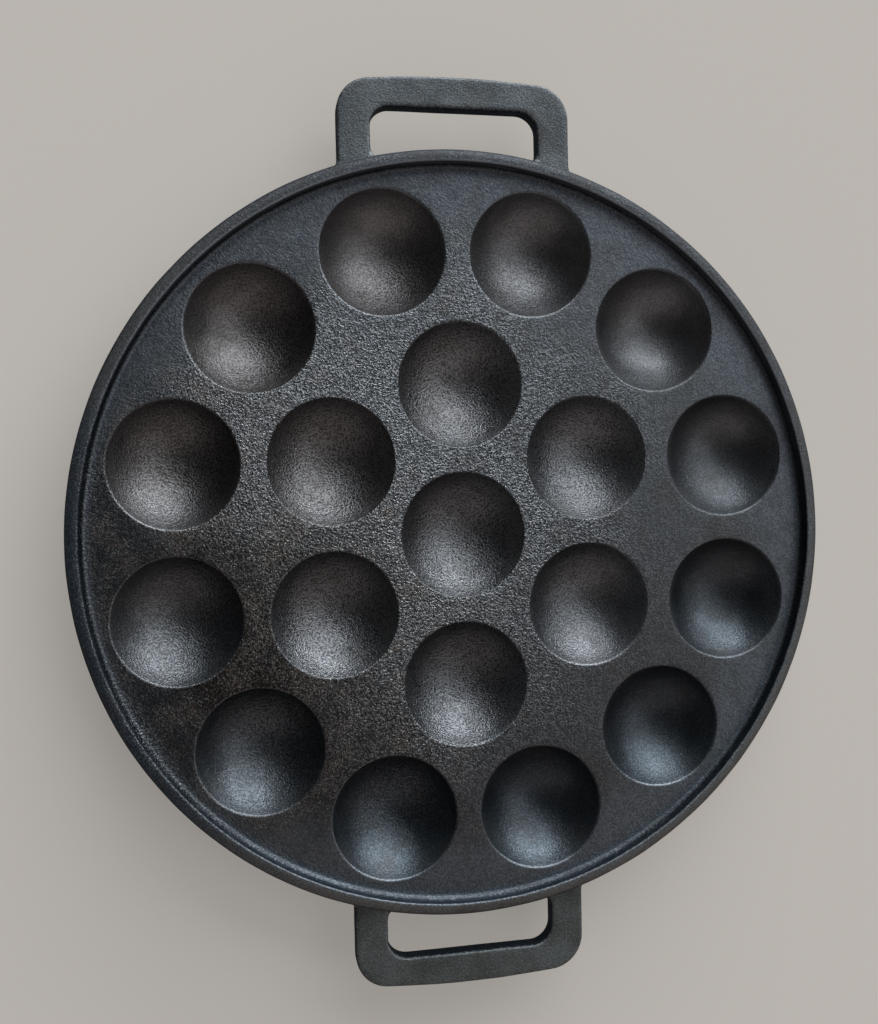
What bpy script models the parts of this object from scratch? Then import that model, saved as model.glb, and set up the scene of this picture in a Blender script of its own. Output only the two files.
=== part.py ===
"""Poffertjes pan: a round cast-iron griddle with nineteen small hollows and two flat loop handles.

The real pan is one iron casting. Here each feature of the casting is its own solid, parted from its
neighbours by a thin seam, so that every feature has a name and can be handled by itself.

Metres, +Z up. The origin is the centre of the ring that the pan stands on. Handles lie along Y.
"""

import math

import bmesh
import bpy

MM = 0.001

# Seam between two features of the casting
SEAM = 0.3 * MM

# Hollows: spherical bowls, one in the middle and two rings around it
MOUTH_RADIUS = 21.3 * MM
HOLLOW_DEPTH = 14.5 * MM
BOWL_WALL = 3.8 * MM
LIP_ROUNDING = 1.0 * MM
BOWL_SPACING = 4.0 * MM
BOWL_TO_WALL = 0.6 * MM
BOWL_GROUND_CLEARANCE = 1.0 * MM
INNER_RING_COUNT = 6

# Griddle plate that carries the hollows
PLATE_THICKNESS = 4.0 * MM

# Outer wall: the raised rim above the plate and the skirt below it
RIM_HEIGHT = 4.0 * MM
RIM_THICKNESS = 4.5 * MM
RIM_FILLET = 2.2 * MM
RIM_INNER_ROUNDING = 0.6 * MM
RIM_SHOULDER_DROP = 2.8 * MM
SKIRT_FILLET = 1.5 * MM
SKIRT_DRAFT = math.radians(3.0)
FOOT_CHAMFER = 0.6 * MM

# Loop handles
HANDLE_WIDTH = 80.0 * MM
HANDLE_FINGER_ROOM = 14.4 * MM
HANDLE_BAR_WIDTH = 10.6 * MM
HANDLE_ARM_WIDTH = 11.1 * MM
HANDLE_THICKNESS = 6.0 * MM
HANDLE_BELOW_PLATE = 0.5 * MM
HANDLE_CORNER_RADIUS = 11.5 * MM
HANDLE_SLOT_RADIUS = 7.0 * MM
HANDLE_OUTER_ROOT_FILLET = 3.5 * MM
HANDLE_SLOT_ROOT_FILLET = 5.0 * MM
HANDLE_CROWN = 1.2 * MM
HANDLE_EDGE_ROUNDING = 1.0 * MM

# Facets
HOLLOW_SIDES = 24
WALL_SIDES = 72
BOWL_STEPS = 4

# A hollow's sphere cuts the plate's top in a circle of the mouth's radius
SPHERE_RADIUS = (MOUTH_RADIUS**2 + HOLLOW_DEPTH**2) / (2 * HOLLOW_DEPTH)
SPHERE_ABOVE_PLATE = SPHERE_RADIUS - HOLLOW_DEPTH

# Heights, from the ground up
PLATE_TOP = BOWL_GROUND_CLEARANCE + BOWL_WALL + HOLLOW_DEPTH
PLATE_UNDERSIDE = PLATE_TOP - PLATE_THICKNESS
RIM_TOP = PLATE_TOP + RIM_HEIGHT
SHOULDER_Z = RIM_TOP - RIM_SHOULDER_DROP
HANDLE_TOP = PLATE_TOP - HANDLE_BELOW_PLATE
HANDLE_UNDERSIDE = HANDLE_TOP - HANDLE_THICKNESS


def sphere_slice(radius, drop):
    """Radius of a sphere about the hollow's centre, cut at a depth below the plate's top."""
    return math.sqrt(radius**2 - (SPHERE_ABOVE_PLATE + drop) ** 2)


# How far one hollow reaches from its own axis, at its rounded lip and under the plate
LIP_REACH = sphere_slice(SPHERE_RADIUS + LIP_ROUNDING, LIP_ROUNDING)
BOWL_REACH = sphere_slice(SPHERE_RADIUS + BOWL_WALL, PLATE_THICKNESS)
HOLLOW_REACH = max(LIP_REACH, BOWL_REACH)

# Each ring of hollows is as small as their pitch allows, along the ring and to the ring inside it
PITCH = 2 * HOLLOW_REACH + BOWL_SPACING
OUTER_RING_COUNT = 2 * INNER_RING_COUNT
OUTER_HALF_STEP = math.pi / OUTER_RING_COUNT
INNER_RING_RADIUS = max(PITCH, PITCH / (2 * math.sin(math.pi / INNER_RING_COUNT)))
NEIGHBOUR_OFFSET = INNER_RING_RADIUS * math.sin(OUTER_HALF_STEP)
OUTER_RING_RADIUS = max(
    PITCH / (2 * math.sin(OUTER_HALF_STEP)),
    INNER_RING_RADIUS * math.cos(OUTER_HALF_STEP) + math.sqrt(PITCH**2 - NEIGHBOUR_OFFSET**2),
)

# The plate ends at the foot of the fillets above and below it
FLOOR_RADIUS = OUTER_RING_RADIUS + HOLLOW_REACH + BOWL_TO_WALL
RIM_INNER_RADIUS = FLOOR_RADIUS + RIM_FILLET
SKIRT_INNER_RADIUS = FLOOR_RADIUS + SKIRT_FILLET
OUTER_RADIUS = RIM_INNER_RADIUS + RIM_THICKNESS
SLOT_END = OUTER_RADIUS + HANDLE_FINGER_ROOM
HANDLE_END = SLOT_END + HANDLE_BAR_WIDTH


def clear_scene():
    for obj in list(bpy.data.objects):
        bpy.data.objects.remove(obj)


def iron(name, colour, roughness):
    """Seasoned cast iron as a Principled BSDF."""
    material = bpy.data.materials.new(name)
    material.use_nodes = True
    shader = material.node_tree.nodes["Principled BSDF"]
    shader.inputs["Base Color"].default_value = (*colour, 1.0)
    shader.inputs["Roughness"].default_value = roughness
    shader.inputs["Metallic"].default_value = 0.55
    return material


def place(name, mesh, material, parent=None, location=(0, 0, 0), turn=0.0):
    """A named object that shows the mesh, turned about Z."""
    if not mesh.materials:
        mesh.materials.append(material)
    obj = bpy.data.objects.new(name, mesh)
    bpy.context.scene.collection.objects.link(obj)
    obj.parent = parent
    obj.location = location
    obj.rotation_euler = (0, 0, turn)
    return obj


def group(name):
    """An empty that holds like pieces together."""
    empty = bpy.data.objects.new(name, None)
    bpy.context.scene.collection.objects.link(empty)
    return empty


def finished_mesh(name, bm):
    """The bmesh as a smooth shaded mesh with its faces pointing out."""
    bmesh.ops.recalc_face_normals(bm, faces=bm.faces)
    mesh = bpy.data.meshes.new(name)
    bm.to_mesh(mesh)
    bm.free()
    mesh.shade_smooth()
    mesh.set_sharp_from_angle(angle=math.radians(35))
    return mesh


def arc(centre, half_axes, start, end, steps):
    """Points along an elliptical arc in a plane, angles in degrees."""
    points = []
    for step in range(steps + 1):
        angle = math.radians(start + (end - start) * step / steps)
        across = centre[0] + half_axes[0] * math.cos(angle)
        up = centre[1] + half_axes[1] * math.sin(angle)
        points.append((across, up))
    return points


def turned_mesh(name, profile, sides, closed):
    """A profile of (radius, height) points spun about Z. An open one starts and ends on the axis."""
    bm = bmesh.new()
    verts = [bm.verts.new((radius, 0, height)) for radius, height in profile]
    edges = [bm.edges.new(pair) for pair in zip(verts, verts[1:])]
    if closed:
        edges.append(bm.edges.new((verts[-1], verts[0])))
    bmesh.ops.spin(
        bm,
        geom=verts + edges,
        cent=(0, 0, 0),
        axis=(0, 0, 1),
        angle=math.tau,
        steps=sides,
        use_merge=True,
    )
    bmesh.ops.remove_doubles(bm, verts=bm.verts, dist=1e-7)
    return finished_mesh(name, bm)


def circle_loop(bm, centre, radius, height, sides):
    """Vertices evenly spaced on a level circle."""
    verts = []
    for side in range(sides):
        angle = side * math.tau / sides
        x = centre[0] + radius * math.cos(angle)
        y = centre[1] + radius * math.sin(angle)
        verts.append(bm.verts.new((x, y, height)))
    return verts


def loop_edges(bm, verts):
    """The edges round a closed loop of vertices, made where they are missing."""
    pairs = zip(verts, verts[1:] + verts[:1])
    return [bm.edges.get(pair) or bm.edges.new(pair) for pair in pairs]


def band(bm, upper, lower):
    """Quads between two loops of as many vertices."""
    count = len(upper)
    for index in range(count):
        after = (index + 1) % count
        bm.faces.new((upper[index], upper[after], lower[after], lower[index]))


def ring_positions(radius, count, first_angle):
    """Evenly spaced points on a circle, clockwise from first_angle as seen from above."""
    points = []
    for index in range(count):
        angle = first_angle - index * math.tau / count
        points.append((radius * math.cos(angle), radius * math.sin(angle)))
    return points


def hollow_centres():
    """The middle hollow, the inner ring and then the outer ring, which straddles the handles' line."""
    towards_handle = math.pi / 2
    inner = ring_positions(INNER_RING_RADIUS, INNER_RING_COUNT, towards_handle)
    first_outer = towards_handle + OUTER_HALF_STEP
    outer = ring_positions(OUTER_RING_RADIUS, OUTER_RING_COUNT, first_outer)
    return [(0.0, 0.0)] + inner + outer


def lip_profile():
    """One hollow's wall inside the plate: the rounded lip, then the sphere down to the underside."""
    lip_centre = (LIP_REACH, PLATE_TOP - LIP_ROUNDING)
    fall = SPHERE_ABOVE_PLATE + LIP_ROUNDING
    tangent = 180 - math.degrees(math.asin(fall / (SPHERE_RADIUS + LIP_ROUNDING)))
    lip = arc(lip_centre, (LIP_ROUNDING, LIP_ROUNDING), 90, tangent, 2)
    return lip + [(sphere_slice(SPHERE_RADIUS, PLATE_THICKNESS), PLATE_UNDERSIDE)]


def plate_mesh():
    """A disc pierced by the upper part of every hollow."""
    bm = bmesh.new()
    radius = FLOOR_RADIUS - SEAM
    upper_rim = circle_loop(bm, (0, 0), radius, PLATE_TOP, WALL_SIDES)
    lower_rim = circle_loop(bm, (0, 0), radius, PLATE_UNDERSIDE, WALL_SIDES)
    band(bm, upper_rim, lower_rim)
    top_edges = loop_edges(bm, upper_rim)
    underside_edges = loop_edges(bm, lower_rim)
    for centre in hollow_centres():
        loops = [circle_loop(bm, centre, r, z, HOLLOW_SIDES) for r, z in lip_profile()]
        for upper, lower in zip(loops, loops[1:]):
            band(bm, upper, lower)
        top_edges += loop_edges(bm, loops[0])
        underside_edges += loop_edges(bm, loops[-1])
    for edges in (top_edges, underside_edges):
        bmesh.ops.triangle_fill(bm, edges=edges, use_beauty=True)
    return finished_mesh("griddle_plate", bm)


def bowl_side(radius):
    """Section of a sphere about the hollow's centre, from its lowest point up to just below the plate."""
    centre_z = PLATE_TOP + SPHERE_ABOVE_PLATE
    rise = SPHERE_ABOVE_PLATE + PLATE_THICKNESS + SEAM
    top_angle = -math.degrees(math.asin(rise / radius))
    side = arc((0.0, centre_z), (radius, radius), -90, top_angle, BOWL_STEPS)
    return [(0.0, centre_z - radius)] + side[1:]


def bowl_mesh():
    """The part of a hollow that hangs below the plate, about its own axis."""
    outside = bowl_side(SPHERE_RADIUS + BOWL_WALL)
    inside = bowl_side(SPHERE_RADIUS)
    return turned_mesh("hollow_bowl", outside + inside[::-1], HOLLOW_SIDES, closed=False)


def wall_radius(height):
    """Radius of the skirt's drafted outer face at a height."""
    return OUTER_RADIUS - (SHOULDER_Z - height) * math.tan(SKIRT_DRAFT)


def outer_wall_profile():
    """Section of the rim and skirt, from the plate's edge over the rim, down and back up inside."""
    rim_fillet_centre = (FLOOR_RADIUS, PLATE_TOP + RIM_FILLET)
    rim_fillet = arc(rim_fillet_centre, (RIM_FILLET, RIM_FILLET), -90, 0, 3)
    crest_radius = RIM_INNER_RADIUS + RIM_INNER_ROUNDING
    crest_centre = (crest_radius, RIM_TOP - RIM_INNER_ROUNDING)
    crest = arc(crest_centre, (RIM_INNER_ROUNDING, RIM_INNER_ROUNDING), 180, 90, 1)
    shoulder_axes = (OUTER_RADIUS - crest_radius, RIM_SHOULDER_DROP)
    shoulder = arc((crest_radius, SHOULDER_Z), shoulder_axes, 90, 0, 4)[1:]
    foot = [
        (wall_radius(FOOT_CHAMFER), FOOT_CHAMFER),
        (wall_radius(0) - FOOT_CHAMFER, 0.0),
        (SKIRT_INNER_RADIUS + FOOT_CHAMFER, 0.0),
        (SKIRT_INNER_RADIUS, FOOT_CHAMFER),
    ]
    skirt_fillet_centre = (FLOOR_RADIUS, PLATE_UNDERSIDE - SKIRT_FILLET)
    skirt_fillet = arc(skirt_fillet_centre, (SKIRT_FILLET, SKIRT_FILLET), 0, 90, 2)
    return rim_fillet + crest + shoulder + foot + skirt_fillet


def root_fillet(side_x, away, fillet, wall):
    """Plan view of the fillet from a handle arm's side to the round wall. away is 1 or -1 along X."""
    centre_x = side_x + away * fillet
    centre_y = math.sqrt((wall + fillet) ** 2 - centre_x**2)
    inward = math.degrees(math.atan2(-centre_y, -centre_x))
    to_side, to_wall = (180.0, inward + 360) if away > 0 else (0.0, inward)
    return arc((centre_x, centre_y), (fillet, fillet), to_side, to_wall, 2)


def bearing(point):
    """Angle of a point in plan view, in degrees."""
    return math.degrees(math.atan2(point[1], point[0]))


def half_handle_outline(inset, wall):
    """Right half of the loop in plan view, from its outer middle round to the middle of its slot."""
    half_width = HANDLE_WIDTH / 2 - inset
    end = HANDLE_END - inset
    corner = HANDLE_CORNER_RADIUS - inset
    crown_edge = half_width - corner
    outer_middle = [(0.0, end), (crown_edge / 2, end - HANDLE_CROWN / 4)]
    corner_centre = (crown_edge, end - HANDLE_CROWN - corner)
    outer_corner = arc(corner_centre, (corner, corner), 90, 0, 4)

    slot_side = HANDLE_WIDTH / 2 - HANDLE_ARM_WIDTH + inset
    outer_root = root_fillet(half_width, 1, HANDLE_OUTER_ROOT_FILLET + inset, wall)
    inner_root = root_fillet(slot_side, -1, HANDLE_SLOT_ROOT_FILLET + inset, wall)[::-1]
    against_wall = arc((0, 0), (wall, wall), bearing(outer_root[-1]), bearing(inner_root[0]), 3)

    slot_end = SLOT_END + inset
    slot_room = slot_end - inner_root[-1][1]
    slot_corner = min(HANDLE_SLOT_RADIUS + inset, slot_room)
    slot_centre = (slot_side - slot_corner, slot_end - slot_corner)
    slot = arc(slot_centre, (slot_corner, slot_corner), 0, 90, 3)
    return outer_middle + outer_corner + outer_root + against_wall[1:-1] + inner_root + slot


def handle_outline(inset, wall):
    """The whole loop: the right half and its mirror image."""
    right = half_handle_outline(inset, wall)
    left = [(-x, y) for x, y in right[1:]][::-1]
    return right + left


def handle_levels():
    """Heights of the handle's outlines with their insets, round its lower and upper edges."""
    rounding = HANDLE_EDGE_ROUNDING
    upper = arc((-rounding, HANDLE_TOP - rounding), (rounding, rounding), 0, 90, 2)
    lower = arc((-rounding, HANDLE_UNDERSIDE + rounding), (rounding, rounding), -90, 0, 1)
    return [(height, -across) for across, height in lower + upper]


def handle_mesh():
    """A flat loop with rounded edges, built from its underside to its top."""
    bm = bmesh.new()
    loops = []
    for height, inset in handle_levels():
        outline = handle_outline(inset, wall_radius(height) + SEAM)
        loops.append([bm.verts.new((x, y, height)) for x, y in outline])
    for lower, upper in zip(loops, loops[1:]):
        band(bm, upper, lower)
    bm.faces.new(loops[0])
    bm.faces.new(loops[-1])
    return finished_mesh("loop_handle", bm)


def main():
    clear_scene()
    plate_iron = iron("griddle_iron", (0.030, 0.030, 0.031), 0.50)
    bowl_iron = iron("bowl_iron", (0.028, 0.026, 0.025), 0.45)
    wall_iron = iron("wall_iron", (0.030, 0.033, 0.036), 0.48)
    handle_iron = iron("handle_iron", (0.033, 0.036, 0.039), 0.52)

    place("griddle_plate", plate_mesh(), plate_iron)
    wall_mesh = turned_mesh("outer_wall", outer_wall_profile(), WALL_SIDES, closed=True)
    place("outer_wall", wall_mesh, wall_iron)

    bowls = group("bowls")
    shared_bowl = bowl_mesh()
    for number, (x, y) in enumerate(hollow_centres(), start=1):
        place(f"hollow_bowl_{number:02d}", shared_bowl, bowl_iron, bowls, (x, y, 0))

    handles = group("handles")
    shared_handle = handle_mesh()
    place("loop_handle_back", shared_handle, handle_iron, handles)
    place("loop_handle_front", shared_handle, handle_iron, handles, turn=math.pi)


main()
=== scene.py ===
import math

import bmesh
import bpy
from mathutils import Matrix, Vector, kdtree, noise
from mathutils.geometry import delaunay_2d_cdt


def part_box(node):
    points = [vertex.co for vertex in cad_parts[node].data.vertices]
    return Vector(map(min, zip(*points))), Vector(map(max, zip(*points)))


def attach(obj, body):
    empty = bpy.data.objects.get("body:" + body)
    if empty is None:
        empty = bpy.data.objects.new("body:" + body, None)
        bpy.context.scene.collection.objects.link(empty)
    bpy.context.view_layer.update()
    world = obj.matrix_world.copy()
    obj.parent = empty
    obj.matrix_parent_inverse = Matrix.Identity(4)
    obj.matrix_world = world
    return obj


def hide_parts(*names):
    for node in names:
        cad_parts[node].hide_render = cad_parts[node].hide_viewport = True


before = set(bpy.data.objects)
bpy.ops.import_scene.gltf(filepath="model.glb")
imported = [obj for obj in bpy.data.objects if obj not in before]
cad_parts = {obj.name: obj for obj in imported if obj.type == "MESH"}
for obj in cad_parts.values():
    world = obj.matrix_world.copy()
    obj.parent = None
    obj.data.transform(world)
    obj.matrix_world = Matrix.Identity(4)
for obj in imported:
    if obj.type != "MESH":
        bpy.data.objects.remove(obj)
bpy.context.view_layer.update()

MM = 0.001

# Width of the seams between the CAD's pieces
SEAM = 0.3 * MM

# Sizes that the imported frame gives
PLATE_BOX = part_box("griddle_plate")
WALL_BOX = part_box("outer_wall")
HANDLE_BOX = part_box("loop_handle_back")
BOWL_NAMES = sorted(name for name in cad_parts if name.startswith("hollow_bowl"))
BOWL_BOXES = [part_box(name) for name in BOWL_NAMES]
HOLLOW_CENTRES = [((low.x + high.x) / 2, (low.y + high.y) / 2) for low, high in BOWL_BOXES]
PLATE_TOP = PLATE_BOX[1].z
PLATE_UNDERSIDE = PLATE_BOX[0].z
FLOOR_RADIUS = PLATE_BOX[1].x + SEAM
BOWL_BOTTOM = BOWL_BOXES[0][0].z
OUTER_RADIUS = WALL_BOX[1].x
RIM_TOP = WALL_BOX[1].z
HANDLE_TOP = HANDLE_BOX[1].z
HANDLE_UNDERSIDE = HANDLE_BOX[0].z
HANDLE_END = HANDLE_BOX[1].y

# Hollows, with the rounded lips that the photograph shows
MOUTH_RADIUS = 21.3 * MM
HOLLOW_DEPTH = 14.5 * MM
LIP_ROUNDING = 1.0 * MM
DOME_FILLET = 0.8 * MM
SPHERE_RADIUS = (MOUTH_RADIUS**2 + HOLLOW_DEPTH**2) / (2 * HOLLOW_DEPTH)
SPHERE_Z = PLATE_TOP - HOLLOW_DEPTH + SPHERE_RADIUS
DOME_RADIUS = SPHERE_Z - BOWL_BOTTOM

# Rim and skirt
RIM_FILLET = 2.2 * MM
RIM_INNER_ROUNDING = 0.6 * MM
RIM_SHOULDER_DROP = 2.8 * MM
SKIRT_FILLET = 1.5 * MM
SKIRT_DRAFT = math.radians(3.0)
FOOT_ROUNDING = 0.6 * MM
RIM_INNER_RADIUS = FLOOR_RADIUS + RIM_FILLET
RIM_THICKNESS = OUTER_RADIUS - RIM_INNER_RADIUS
SKIRT_INNER_RADIUS = FLOOR_RADIUS + SKIRT_FILLET
SHOULDER_Z = RIM_TOP - RIM_SHOULDER_DROP

# Loop handles
HANDLE_HALF_WIDTH = 40.0 * MM
HANDLE_ARM_WIDTH = 11.1 * MM
HANDLE_BAR_WIDTH = 10.6 * MM
HANDLE_CORNER_RADIUS = 11.5 * MM
HANDLE_SLOT_RADIUS = 7.0 * MM
HANDLE_CROWN = 1.2 * MM
HANDLE_EDGE_ROUNDING = 1.0 * MM
ARM_START = OUTER_RADIUS + 3.0 * MM
ROOT_FILLET_OUTSIDE = 3.5 * MM
ROOT_FILLET_SLOT = 5.0 * MM
ROOT_FILLET_UPWARD = 1.2 * MM

# Mesh density, with the columns of the wall that the patch round a handle's arm covers, one to a degree
HOLLOW_SIDES = 96
WALL_SIDES = 360
GRID_STEP = 2.2 * MM
GRID_MARGIN = 0.6 * GRID_STEP
SIDE_STEPS = 10
SIDE_ROWS = [SHOULDER_Z + (FOOT_ROUNDING - SHOULDER_Z) * row / SIDE_STEPS for row in range(SIDE_STEPS + 1)]
PATCH_COLUMNS = range(67, 82)
PATCH_MARGIN = 0.8 * MM
WELD_DISTANCE = 0.002 * MM
TRIANGLE_TOLERANCE = 1e-7

# Angles of the last rings before the lowest points of a hollow and of its dome
HOLLOW_LAST_ANGLE = -88
DOME_LAST_ANGLE = -87

# Wear across the lips and the rim's crest, a painted highlight across the fillet at the handles' roots, and
# wear along the handles' and the foot's edges
LIP_WEAR = (0.0, 0.05, 0.10, 0.10, 0.07, 0.03, 0.0)
CREST_WEAR = (0.1, 0.3, 0.4, 0.3, 0.1)
ROOT_HIGHLIGHT = (0.0, 0.1, 0.3, 0.5, 0.3, 0.1, 0.0)
EDGE_WEAR = 0.3

# How far the points across a lip take on the look of the hollow
LIP_HOLLOW = (0.0, 0.0, 0.1, 0.3, 0.6, 0.9, 1.0)

# Unevenness of the cast skin, as pairs of wavelength and height, and the height below which it fades out
UNEVENNESS = ((11.0 * MM, 0.07 * MM), (4.5 * MM, 0.03 * MM))
EVEN_BELOW = 3 * MM

# Colours of the iron from the back of the pan to its front, and a third along its left edge. They hold
# painted light: a painted sheen that is lighter at the back and bluer near the rim, a painted highlight on
# the fillet at the front and painted shade on the rim's shoulder at the back
PLATE_PAINTED_SHEEN = ((0.084, 0.090, 0.096), (0.063, 0.065, 0.067))
NEAR_RIM_PAINTED_SHEEN = ((0.089, 0.099, 0.112), (0.094, 0.103, 0.112), (0.042, 0.045, 0.048))
FILLET_PAINTED_LIGHT = ((0.060, 0.066, 0.075), (0.096, 0.117, 0.136), (0.070, 0.078, 0.087))
SHOULDER_PAINTED_LIGHT = ((0.036, 0.038, 0.041), (0.125, 0.126, 0.123), (0.050, 0.062, 0.076))

# Colours of the darker and the lighter patches on each handle, with the front handle painted lighter as
# painted light
BACK_HANDLE_COLOURS = ((0.067, 0.073, 0.077), (0.092, 0.100, 0.104))
FRONT_HANDLE_COLOURS = ((0.084, 0.092, 0.090), (0.122, 0.134, 0.132))

# Colours of the hollows from the front to the back, painted lighter towards the back and in the inner ring
# and bluer at the front as painted light, and the tint of those at the back left
INNER_HOLLOW_COLOURS = ((0.132, 0.137, 0.145), (0.182, 0.183, 0.188))
OUTER_HOLLOW_COLOURS = ((0.058, 0.069, 0.078), (0.148, 0.147, 0.150))
BROWN_TINT = (0.94, 0.89, 0.86)

# Colours of the marks on the iron. The shade on steep faces and underneath is painted shade, the bright edge
# and the glints are painted highlights, the oil is partly painted shade, and the peaks and the scuffs are
# partly painted highlights
OIL_AND_SHADE = (0.028, 0.026, 0.024)
BLOTCH = (0.050, 0.043, 0.038)
PAINTED_SHADE = (0.024, 0.031, 0.039)
PAINTED_EDGE_HIGHLIGHT = (0.190, 0.200, 0.215)
WORN_PEAK_AND_GLINT = (0.150, 0.150, 0.148)
PAINTED_GLINT = (0.20, 0.196, 0.188)
RUST = (0.086, 0.063, 0.050)
SCUFF_AND_HIGHLIGHT = (0.24, 0.25, 0.26)

# Stretches of the pan, as the x and y of the middle and how far from it the border starts and ends
OILY_AND_SHADED_PLATE = (-100 * MM, -55 * MM, 30 * MM, 105 * MM)
SANDY_PLATE = (-25 * MM, 0.0, 42 * MM, 115 * MM)
SPECKLED_PLATE = (-85 * MM, -25 * MM, 45 * MM, 120 * MM)
LEFT_EDGE = (-125 * MM, -30 * MM, 40 * MM, 115 * MM)
SANDY_HOLLOWS = (-20 * MM, 5 * MM, 55 * MM, 120 * MM)
BROWN_HOLLOWS = (-75 * MM, 60 * MM, 45 * MM, 105 * MM)
SHADED_LIPS = (110 * MM, 35 * MM, 50 * MM, 120 * MM)
BORDER_DRIFT = 70 * MM

# Where looks begin and are full, measured outwards from the rim's inner face
OUTER_HOLLOWS = (-65.5 * MM, -35.5 * MM)
NEAR_RIM = (-27.5 * MM, -9.5 * MM)
OFF_PLATE = (-7.5 * MM, -1.5 * MM)
STEEP_RIM = (-1.7 * MM, -0.9 * MM)
ROUGH_RIM = (-0.5 * MM, 0.5 * MM)
SHOULDER = (-0.1 * MM, 1.5 * MM)
HANDLES = (RIM_THICKNESS, RIM_THICKNESS + 1.5 * MM)

# Rings measured in the same way, as where each begins, is full, begins to fade and ends
FILLET_RING = (-3.7 * MM, -2.5 * MM, -1.5 * MM, -0.6 * MM)
CREASE_SHADE_RING = (-1.3 * MM, -0.8 * MM, -0.4 * MM, 0.0)
EDGE_HIGHLIGHT_RING = (-0.3 * MM, 0.0, 0.4 * MM, 0.8 * MM)

# The window's side of the pan and how far the light and shade painted from it reach, and the way in which
# the hollows are painted lighter
WINDOW_SIDE = (30 * MM, 150 * MM, PLATE_TOP)
WINDOW_FADES = (60 * MM, 290 * MM)
BACK_LEFT = (-0.34, 0.94, 0.0)
HOLLOWS_REACH = 105 * MM

# Sizes of the blobs in each noise
BORDER_SIZE = 38 * MM
HANDLE_PATCH_SIZE = 16 * MM
BLOTCH_SIZE = 11 * MM
WAVE_SIZE = 6 * MM
SAND_SIZE = 0.70 * MM
RUST_SIZE = 0.65 * MM
GLINT_SIZE = 0.5 * MM

# Heights of the waves and of the sand in the iron's relief
WAVE_HEIGHT = 0.16 * MM
SAND_HEIGHT = 0.85 * MM

# The photograph's camera, solved from the rims of the hollows
CAMERA_PLACE = Vector((-72.34, 17.78, 366.8)) * MM
CAMERA_RIGHT = Vector((0.9831, -0.0214, 0.1816))
CAMERA_UP = Vector((0.0261, 0.9994, -0.0232))
CAMERA_BACK = Vector((-0.1810, 0.0276, 0.9831))
CAMERA_LENS = 36.54
CAMERA_SENSOR = 36.0
CAMERA_NEAR = 10 * MM

# Studio, with lamps far enough off to light the floor evenly
LAMP_DISTANCE = 12.0
WINDOW_LIGHT = (0.90, 0.95, 1.0)
SKY_LIGHT = (0.92, 0.96, 1.0)
ROOM_LIGHT = (1.0, 0.87, 0.86)
FLOOR_HALF_WIDTH = 5.0
FLOOR_COLOUR = (0.25, 0.226, 0.203)
FLOOR_GLOW = (0.50, 0.476, 0.442)
GLOW_STRENGTH = 0.5

# The world's colours at and above the horizon, and the sines of the angles between which they change over
HORIZON_COLOUR = (0.47, 0.46, 0.44, 1.0)
SKY_COLOUR = (0.036, 0.036, 0.036, 1.0)
HORIZON_FADES = (0.04, 0.28)


class Casting:
    """The points and faces of the pan, with the node that each face belongs to.

    A hidden face closes a piece where it meets its neighbour, inside the iron.
    """

    def __init__(self):
        self.part = ""
        self.points = []
        self.faces = []
        self.hidden = []
        self.wear_and_highlight = []
        self.hollow = []

    def point(self, place, wear_and_highlight=0.0, hollow=0.0):
        self.points.append(Vector(place))
        self.wear_and_highlight.append(wear_and_highlight)
        self.hollow.append(hollow)
        return len(self.points) - 1

    def face(self, corners, closes=()):
        """A face of the part in hand, or one inside the iron that closes the named parts."""
        if closes:
            self.hidden += [(part, corners) for part in closes]
        else:
            self.faces.append((self.part, corners))

    def bridge(self, first, second, closes=()):
        """Quads between two closed rows of as many points."""
        for index in range(len(first)):
            after = (index + 1) % len(first)
            self.face((first[index], first[after], second[after], second[index]), closes)

    def fan(self, row, middle):
        """Triangles from a closed row to a point in its middle."""
        for index, corner in enumerate(row):
            self.face((corner, row[(index + 1) % len(row)], middle))

    def sheet(self, points, edges, place, closes):
        """Triangles over a plane outline.

        place lifts a flat point, and closes takes a triangle's middle and gives the parts that the triangle
        closes, or None for a gap.
        """
        found = delaunay_2d_cdt([Vector(p) for p in points], edges, [], 0, TRIANGLE_TOLERANCE)
        flat, triangles = found[0], found[2]
        indices = [self.point(place(p)) for p in flat]
        for triangle in triangles:
            middle = sum((flat[i] for i in triangle), Vector((0, 0))) / 3
            sides = closes(middle)
            if sides is not None:
                self.face(tuple(indices[i] for i in triangle), sides)

    def weld(self):
        """Makes points that lie on each other one and the same."""
        tree = kdtree.KDTree(len(self.points))
        for index, place in enumerate(self.points):
            tree.insert(place, index)
        tree.balance()
        same = [min(near[1] for near in tree.find_range(place, WELD_DISTANCE)) for place in self.points]
        self.faces = [(part, tuple(same[i] for i in corners)) for part, corners in self.faces]
        self.hidden = [(part, tuple(same[i] for i in corners)) for part, corners in self.hidden]


def arc(centre, half_axes, start, end, steps):
    """Points along an elliptical arc in a plane, angles in degrees."""
    points = []
    for step in range(steps + 1):
        angle = math.radians(start + (end - start) * step / steps)
        across = centre[0] + half_axes[0] * math.cos(angle)
        up = centre[1] + half_axes[1] * math.sin(angle)
        points.append((across, up))
    return points


def line(start, end, steps):
    """Points from start to end, both included."""
    shares = [step / steps for step in range(steps + 1)]
    return [tuple(a + (b - a) * share for a, b in zip(start, end)) for share in shares]


def circle(centre, radius, sides):
    """Points round a whole circle, from the +X side."""
    points = []
    for side in range(sides):
        angle = math.tau * side / sides
        points.append((centre[0] + radius * math.cos(angle), centre[1] + radius * math.sin(angle)))
    return points


def closed_edges(start, count):
    """Edges of a closed row of points that begins at a given number."""
    return [(start + i, start + (i + 1) % count) for i in range(count)]


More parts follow.
